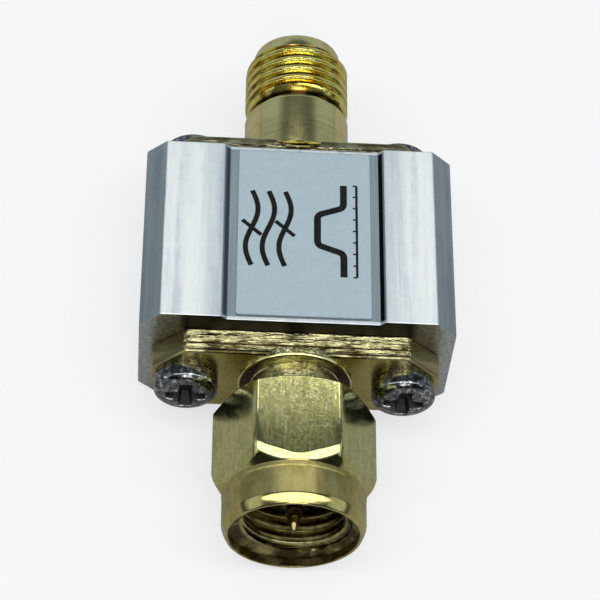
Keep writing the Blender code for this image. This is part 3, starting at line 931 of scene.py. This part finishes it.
# Plug body: flange, hub, grooved neck and front sleeve, turned and milled from one brass bar and
# gold plated. The coupling nut hangs on its neck.
plug_low, plug_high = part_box("plug_body")
plug_face = plug_high.y + seat_gap
sleeve_radius = 2.275 * mm
neck_radius = 2.475 * mm
hub_radius = (plug_high.z - plug_low.z) / 2
hub_end = flange_thickness + 0.22 * mm
groove_start = 4.71 * mm
groove_end = 5.2 * mm
groove_radius = neck_radius - 0.32 * mm
neck_gold = gold_finish(
    "neck_gold_plate",
    {"Across": 1.0, "Grain": 1.0},
    0.035 * mm,
    0.2,
    (0.16, 0.13, 0.05),
    (0.80, 0.75, 0.42),
    (0.76, 1.0),
)
hub_face_gold = gold_finish(
    "hub_face_gold_plate",
    {"Across": 1.0, "Grain": 1.0},
    0.06 * mm,
    0.2,
    (0.20, 0.16, 0.06),
    (0.90, 0.84, 0.46),
    (0.76, 1.0),
    # Painted shade: the hub's face is painted dark at its sides, a painted dark reflection.
    flanks=(1.5 * mm, 2.3 * mm, (0.09, 0.05, 0.035)),
)


def plug_barrel():
    """Rings of the hub's side and edge, its face, then neck, groove and sleeve, and back down the bore."""
    reach = plug_face - plug_low.y
    root = flange_thickness - 0.3 * mm
    foot = 0.06 * mm
    sleeve_start = reach - 1.0 * mm
    sleeve_edge = 0.1 * mm
    rows = [
        (hub_radius, root),
        *broken_edge(hub_radius, hub_end),
        (neck_radius + foot, hub_end),
        (neck_radius, hub_end + foot),
        (neck_radius, groove_start),
        (groove_radius, groove_start),
        (groove_radius, groove_end),
        (neck_radius, groove_end),
        (neck_radius, sleeve_start - edge_break),
        (neck_radius - edge_break, sleeve_start),
        (sleeve_radius, sleeve_start),
        (sleeve_radius, reach - sleeve_edge),
        (sleeve_radius - sleeve_edge, reach),
        (body_bore, reach),
        (body_bore, root),
    ]
    return turned_rings(rows, full_turn(96), plug_face, -1)


plug_rings = plug_barrel()
make_piece(
    "plug_shell",
    [
        tube(np.concatenate([plug_rings[4:], plug_rings[:2]])),
        tube(plug_rings[1:4]),
        tube(plug_rings[3:5]),
        *flange_shells(plug_face, -1),
    ],
    "module",
    ["plug_body"],
    [neck_gold, turned_gold, hub_face_gold, milled_gold, faced_gold],
    30,
)

# Snap ring: a split ring of bronze wire in the neck's groove, which holds the nut on.
bronze = grained_finish("spring_bronze", 1.0, 0.35, 5000, (0.45, 0.27, 0.13), (0.60, 0.40, 0.20), 0)
refinish(bronze, "snap_ring")

# Coupling nut: a brass hexagon chamfered at both ends, a round collar in front and the thread inside,
# gold plated over a tumbled surface. It turns freely on the neck.
nut_low, nut_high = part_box("coupling_nut")
nut_flat = (nut_high.z - nut_low.z) / 2
nut_corner = nut_flat / math.cos(math.pi / 6)
nut_length = nut_high.y - nut_low.y
nut_edge = 0.07 * mm
nut_corner_cut = nut_corner - 0.05 * mm
nut_mouth = 3.575 * mm
nut_minor = 2.81 * mm
nut_major = thread_radius + 0.03 * mm
nut_thread_start = nut_low.y + 0.5 * mm
nut_thread_end = nut_high.y - 3.5 * mm


def nut_angles(per_flat=13):
    """Angles round the nut from +Z: even steps over each flat, then one more on each corner."""
    half = math.acos(nut_flat / nut_corner_cut)
    within = np.append(np.linspace(-half, half, per_flat), math.pi / 6)
    return (np.arange(6)[:, None] * math.pi / 3 + within[None, :]).reshape(-1)


def rounded_edge(before, corner, after, steps=5):
    """Rows (radius, height) on a quadratic curve from before to after, bent towards the corner."""
    rows = []
    for t in np.linspace(0, 1, steps):
        weights = ((1 - t) ** 2, 2 * t * (1 - t), t**2)
        rows.append(tuple(sum(w * p[k] for w, p in zip(weights, (before, corner, after))) for k in (0, 1)))
    return rows


def nut_rows(angle):
    """Rows (radius, height from the rear face) of the rear bore and flats, chamfer, collar, rim and mouth.

    The hexagon's radius is flat / cos(angle from the flat's middle), cut a little at the corners. A
    chamfer cone meets it at the height where the cone has that radius, and the edge is rounded over.
    That curve bends towards a point on the cone, so it leaves the flat at a slight angle. The cutter
    has raised a fine lip at the collar's rear edge. The collar's front is eased by drop * t^1.5 of its
    radius, t running from 0 to 1 towards the rim. The mouth is a counterbore down to the thread.
    """
    folded = (angle + math.pi / 6) % (math.pi / 3) - math.pi / 6
    hexagon = np.minimum(nut_flat / np.cos(folded), nut_corner_cut)
    rear_start = nut_flat - 0.3 * mm
    rear_slope = math.tan(math.radians(30))
    rear_edge = (hexagon - rear_start) * rear_slope
    collar = nut_flat - 0.03 * mm
    groove = collar - 0.12 * mm
    cone_end = 5.4 * mm
    cone_slope = 0.68 * mm / (nut_corner - groove)
    front_edge = cone_end - (hexagon - groove) * cone_slope
    bore = 2.575 * mm
    bore_edge = 0.06 * mm
    bore_end = 1.3 * mm
    room = 3.25 * mm
    room_end = nut_high.y - nut_thread_end
    flats = [
        (nut_major, room_end),
        (room, room_end),
        (room, bore_end),
        (bore, bore_end),
        (bore, bore_edge),
        (bore + bore_edge, 0),
        (rear_start - nut_edge, 0),
        (rear_start + nut_edge, nut_edge * rear_slope),
    ]
    flats += rounded_edge(
        (hexagon - nut_edge, rear_edge - nut_edge * rear_slope),
        (hexagon, rear_edge),
        (hexagon, rear_edge + nut_edge),
        4,
    )
    flats.append((hexagon, (rear_edge + front_edge) / 2))
    lean = np.minimum(0.15 * mm, 0.6 * (hexagon - groove))
    over = np.minimum(0.27 * mm, 0.9 * (hexagon - groove))
    flats += rounded_edge(
        (hexagon, front_edge - 3.0 * lean),
        (hexagon - lean, front_edge + lean * cone_slope),
        (hexagon - over, front_edge + over * cone_slope),
        9,
    )
    chamfer = [flats[-1], (groove, cone_end)]
    ease = 0.62 * mm
    drop = 0.24 * mm
    rim = [(collar - drop * t**1.5, nut_length - ease * (1 - t)) for t in np.linspace(0, 1, 10)]
    rim[-1] = (collar - drop + 0.02 * mm, nut_length - 0.03 * mm)
    rim.append((collar - drop - 0.02 * mm, nut_length))
    rim.append((nut_mouth + 0.04 * mm, nut_length))
    collar_side = [
        (groove, cone_end),
        (groove, cone_end + 0.3 * mm),
        (collar - 0.04 * mm, cone_end + 0.3 * mm),
        (collar + 0.03 * mm, cone_end + 0.32 * mm),
        (collar + 0.025 * mm, cone_end + 0.35 * mm),
        (collar + 0.002 * mm, cone_end + 0.43 * mm),
        (collar, cone_end + 0.47 * mm),
        rim[0],
    ]
    mouth = [
        rim[-1],
        (nut_mouth, nut_length - 0.04 * mm),
        (nut_mouth, nut_high.y - nut_thread_start),
    ]
    return flats, chamfer, collar_side, rim, mouth


def nut_thread():
    """The mouth narrows to the crests over a short cone, and the roots run out at the far end."""
    mouth_slope = 2.2
    runout_slope = 2.0

    def radius_of(share, y):
        inside = nut_major - (nut_major - nut_minor) * share
        mouth = nut_mouth - (y - nut_thread_start) * mouth_slope
        runout = nut_major - (nut_thread_end - y) * runout_slope
        return np.maximum(inside, np.maximum(mouth, runout))

    return threaded_band(radius_of, nut_thread_start, nut_thread_end, nut_angles())


flat_gold = gold_finish(
    "nut_flat_gold_plate",
    {"Scratches": 0.8, "Grain": 0.5, "Waves": 0.5},
    0.0013 * mm,
    0.14,
    (0.46, 0.43, 0.16),
    (0.76, 0.73, 0.32),
    (0.78, 1.02),
    stain=0.2,
    specks=True,
)
cone_gold = gold_finish("nut_cone_gold_plate", {"Grain": 0.2}, 0.003 * mm, 0.12, *gold_shades(0.85))
nut_gold = gold_finish(
    "nut_gold_plate",
    {"Waves": 1.0, "Scratches": 0.2},
    0.024 * mm,
    0.34,
    *gold_shades(0.7),
)
rim_gold = gold_finish("rim_gold_plate", {"Waves": 1.0}, 0.004 * mm, 0.14, *gold_shades(0.78))
# Painted shade: the mouth's counterbore is painted dark gold.
shaded_mouth_gold = gold_finish(
    "mouth_gold_plate",
    {"Waves": 1.0},
    0.02 * mm,
    0.24,
    (0.10, 0.08, 0.03),
    (0.44, 0.36, 0.15),
)
bore_gold = gold_finish(
    "bore_gold_plate",
    {"Grain": 0.2, "Waves": 1.0},
    0.012 * mm,
    0.22,
    (0.26, 0.21, 0.085),
    (0.72, 0.63, 0.30),
    # The roots are darkened, partly dirt and partly painted shade.
    roots=(nut_minor + 0.28 * mm, nut_minor + 0.04 * mm, (0.08, 0.055, 0.02), (0.52, 0.44, 0.18)),
)
nut_tubes = [tube(turned_rings(rows, nut_angles(), nut_high.y, -1)) for rows in nut_rows(nut_angles())]
make_piece(
    "nut_shell",
    [*nut_tubes, nut_thread()],
    "nut",
    ["coupling_nut"],
    [flat_gold, cone_gold, nut_gold, rim_gold, shaded_mouth_gold, bore_gold],
    32,
)

# Flange screws: small pan-head machine screws of blackened steel with a cross recess, each driven
# through its flange into the end of the housing.
screw_head_radius = 1.8 * mm
screw_side = 0.75 * mm
screw_dome = 0.5 * mm
cross_arm = 1.1 * mm
cross_half_width = 0.33 * mm
cross_depth = 0.8 * mm
cross_taper = 0.55
shank_radius = 1.0 * mm
shank_length = 4.9 * mm
shank_bevel = 0.3 * mm
cross_rim = 1.19 * mm


def screw_finish():
    """Blackened steel that is worn bright in patches."""
    material, tree, shader, place = new_finish("blackened_steel", 1.0, 0.22)
    wear = noise(tree, place, 3500, 4.0, 0.7)
    black, grey, worn = (0.055, 0.057, 0.06), (0.24, 0.245, 0.25), (0.86, 0.87, 0.87)
    colour = ramp(tree, wear, ((0.35, black), (0.55, grey), (0.66, worn)))
    dress(tree, shader, colour, weighted(tree, wear, 0.22, 0.06), wear, 0.008 * mm, 0.7)
    return material


def cross_radius(angle, arm, half_width):
    """Distance from the centre to a plus sign's edge: arm / cos off an arm's axis, or half width / sin.

    Its four inner corners are cut back by a hump of 0.45 half widths, cos^2 over 30 degrees either way.
    """
    off = np.abs((angle + math.pi / 4) % (math.pi / 2) - math.pi / 4)
    hump = np.cos(np.minimum(3 * np.abs(off - math.pi / 4), math.pi / 2)) ** 2
    sharp = np.minimum(arm / np.cos(off), half_width / np.maximum(np.sin(off), 1e-9))
    return sharp + 0.45 * half_width * hump


def screw_angles():
    """Angles that hit every corner of the plus sign, with even steps between them."""
    tip = math.atan2(cross_half_width, cross_arm)
    quarter = np.concatenate([np.linspace(-tip, tip, 7), np.linspace(tip, math.pi / 2 - tip, 21)[1:-1]])
    return (np.arange(4)[:, None] * math.pi / 2 + quarter[None, :]).reshape(-1)


def screw_rings(node, outward, turn):
    """Rings from the point up the shank, over the head and down into the cross recess."""
    low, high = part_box(node)
    centre_x = (low.x + high.x) / 2
    crown = high.y if outward > 0 else low.y
    seat = crown - outward * (screw_side + screw_dome)
    angle = screw_angles()
    plus = cross_radius(angle, cross_arm, cross_half_width)

    def dome(radius):
        return screw_side + screw_dome * (1 - (radius / screw_head_radius) ** 3.2) ** 0.6

    rows = [
        (shank_radius - shank_bevel, -shank_length),
        (shank_radius, shank_bevel - shank_length),
        (shank_radius, 0),
        (screw_head_radius, 0),
        (screw_head_radius, screw_side),
    ]
    for share in (0.985, 0.95, 0.89, 0.8, 0.7):
        rows.append((share * screw_head_radius, dome(share * screw_head_radius)))
    floor = screw_side + screw_dome - cross_depth
    rows += [
        (cross_rim, dome(cross_rim)),
        (plus + 0.09 * mm, dome(plus + 0.09 * mm)),
        (plus + 0.05 * mm, dome(plus + 0.05 * mm) - 0.02 * mm),
        (plus + 0.01 * mm, dome(plus) - 0.07 * mm),
        (plus * cross_taper + 0.04 * mm, floor + 0.04 * mm),
        (plus * cross_taper, floor),
    ]
    rings = turned_rings(rows, angle + turn, seat, outward, centre_x)
    return rings[:-2], rings[-3:]


blackened_steel = screw_finish()
# Painted shade: the cross recess is painted near black, darker than the head.
recess_shade_black = grained_finish("recess_shade_black", 0.4, 0.5, 5000, (0.008, 0.008, 0.008), (0.03, 0.03, 0.03))
for node, outward, turn in (
    ("plug_screw_left", -1, math.radians(0)),
    ("plug_screw_right", -1, math.radians(3)),
    ("socket_screw_left", 1, math.radians(52)),
    ("socket_screw_right", 1, math.radians(9)),
):
    head, recess = screw_rings(node, outward, turn)
    make_piece(
        node + "_shell",
        [skin(head, last_cap=False), skin(recess, first_cap=False)],
        "module",
        [node],
        [blackened_steel, recess_shade_black],
        30,
    )

# Circuit board and its parts: a solder-masked laminate in the housing's slots with a ceramic filter
# chip, four small chips and two solder mounds. None of it can be seen from outside.
board_mask = grained_finish("board_mask", 0.0, 0.35, 3000, (0.012, 0.12, 0.05), (0.02, 0.18, 0.08))
white_ceramic = grained_finish("white_ceramic", 0.0, 0.5, 5000, (0.70, 0.70, 0.66), (0.84, 0.84, 0.80))
tan_ceramic = grained_finish("tan_ceramic", 0.0, 0.5, 6000, (0.42, 0.28, 0.15), (0.56, 0.39, 0.23))
solder = grained_finish("solder", 1.0, 0.28, 2500, (0.55, 0.56, 0.58), (0.72, 0.73, 0.74))
refinish(board_mask, "circuit_board")
refinish(white_ceramic, "filter_chip", "shunt_inductor_input", "shunt_inductor_output")
refinish(tan_ceramic, "series_capacitor_input", "series_capacitor_output")
refinish(solder, "input_solder", "output_solder")

# Studio: a pale seamless floor, an oval soft box overhead, a narrow bright strip behind it, a small box
# in front, and a graded tent that is dark low in front, brighter low behind and brightest at the sides.


def floor_finish():
    """White paper to the camera, but for a share of the object's own shadow, and grey in reflections."""
    material, tree, shader, _ = new_finish("pale_floor", 0.0, 0.9)
    shader.inputs["Base Color"].default_value = (0.93, 0.93, 0.93, 1)
    shader.inputs["Specular IOR Level"].default_value = 0.0
    path = add_node(tree, "LightPath", {})
    seen, mirrored = path["Is Camera Ray"], path["Is Glossy Ray"]
    paper = add_node(tree, "Emission", {"Strength": weighted(tree, seen, 0.85, 0.15)})["Emission"]
    share = product(tree, math_node(tree, "ADD", seen, mirrored), 0.68)
    mixed = add_node(tree, "MixShader", {"Fac": share, 1: shader.outputs["BSDF"], 2: paper})
    tree.links.new(mixed["Shader"], tree.nodes["Material Output"].inputs["Surface"])
    return material


floor_mesh = bpy.data.meshes.new("floor")
floor_reach = 1.5
floor_corners = np.array([(-1, -1, 0), (1, -1, 0), (1, 1, 0), (-1, 1, 0)]) * floor_reach
floor_mesh.from_pydata(floor_corners.tolist(), [], [(0, 1, 2, 3)])
floor_mesh.materials.append(floor_finish())
floor = bpy.data.objects.new("floor", floor_mesh)
bpy.context.scene.collection.objects.link(floor)


def soft_box(name, azimuth, elevation, distance, width, height, radiance, tint=(1, 1, 1), shape="RECTANGLE"):
    """An area lamp at a distance, aimed at the object, its azimuth and elevation in degrees."""
    direction = direction_to(math.radians(azimuth), math.radians(elevation))
    lamp = bpy.data.lights.new(name, "AREA")
    lamp.shape = shape
    lamp.size = width
    lamp.size_y = height
    lamp.color = tint
    lamp.energy = radiance * math.pi * width * height * (math.pi / 4 if shape == "ELLIPSE" else 1)
    box = bpy.data.objects.new(name, lamp)
    bpy.context.scene.collection.objects.link(box)
    box.location = direction * distance
    box.rotation_mode = "QUATERNION"
    box.rotation_quaternion = direction.to_track_quat("Z", "Y")


cool = (0.97, 1.0, 1.0)
soft_box("overhead_box", 0, 78, 0.35, width=0.86, height=0.22, radiance=2.35, tint=cool, shape="ELLIPSE")
soft_box("back_strip", 178, 56, 0.4, width=0.4, height=0.018, radiance=8.4, tint=cool)
soft_box("front_box", 3, 34, 0.4, width=0.16, height=0.2, radiance=2.6)

world = bpy.data.worlds.new("studio_tent")
bpy.context.scene.world = world
world.use_nodes = True
tent = world.node_tree
background = tent.nodes["Background"]
tent_axes = axes_of(tent, add_node(tent, "TexCoord", {})["Generated"])
sideways = math_node(tent, "ABSOLUTE", tent_axes["X"])
along, height = tent_axes["Y"], tent_axes["Z"]
behind = product(tent, smooth_step(tent, along, 0.3, 0.75), smooth_step(tent, height, 0.72, 0.5))
ahead = product(tent, smooth_step(tent, along, -0.1, -0.5), smooth_step(tent, height, 0.5, 0.35))
beside = product(tent, smooth_step(tent, sideways, 0.72, 0.8), smooth_step(tent, height, 0.1, 0.2))
beside = product(tent, beside, smooth_step(tent, along, 0.4, 0.25))
level = weighted(tent, ahead, -0.07, 0.09)
level = weighted(tent, behind, 0.32, level)
level = weighted(tent, beside, 0.6, level)
seen = add_node(tent, "LightPath", {})["Is Camera Ray"]
tent_colour = blend_colours(tent, seen, (0.82, 0.96, 1.06), (1, 1, 1))
tent.links.new(tent_colour, background.inputs["Color"])
shut_out = math_node(tent, "SUBTRACT", 1.0, seen)
tent.links.new(weighted(tent, level, shut_out, seen), background.inputs["Strength"])

bpy.context.scene.view_settings.view_transform = "Standard"
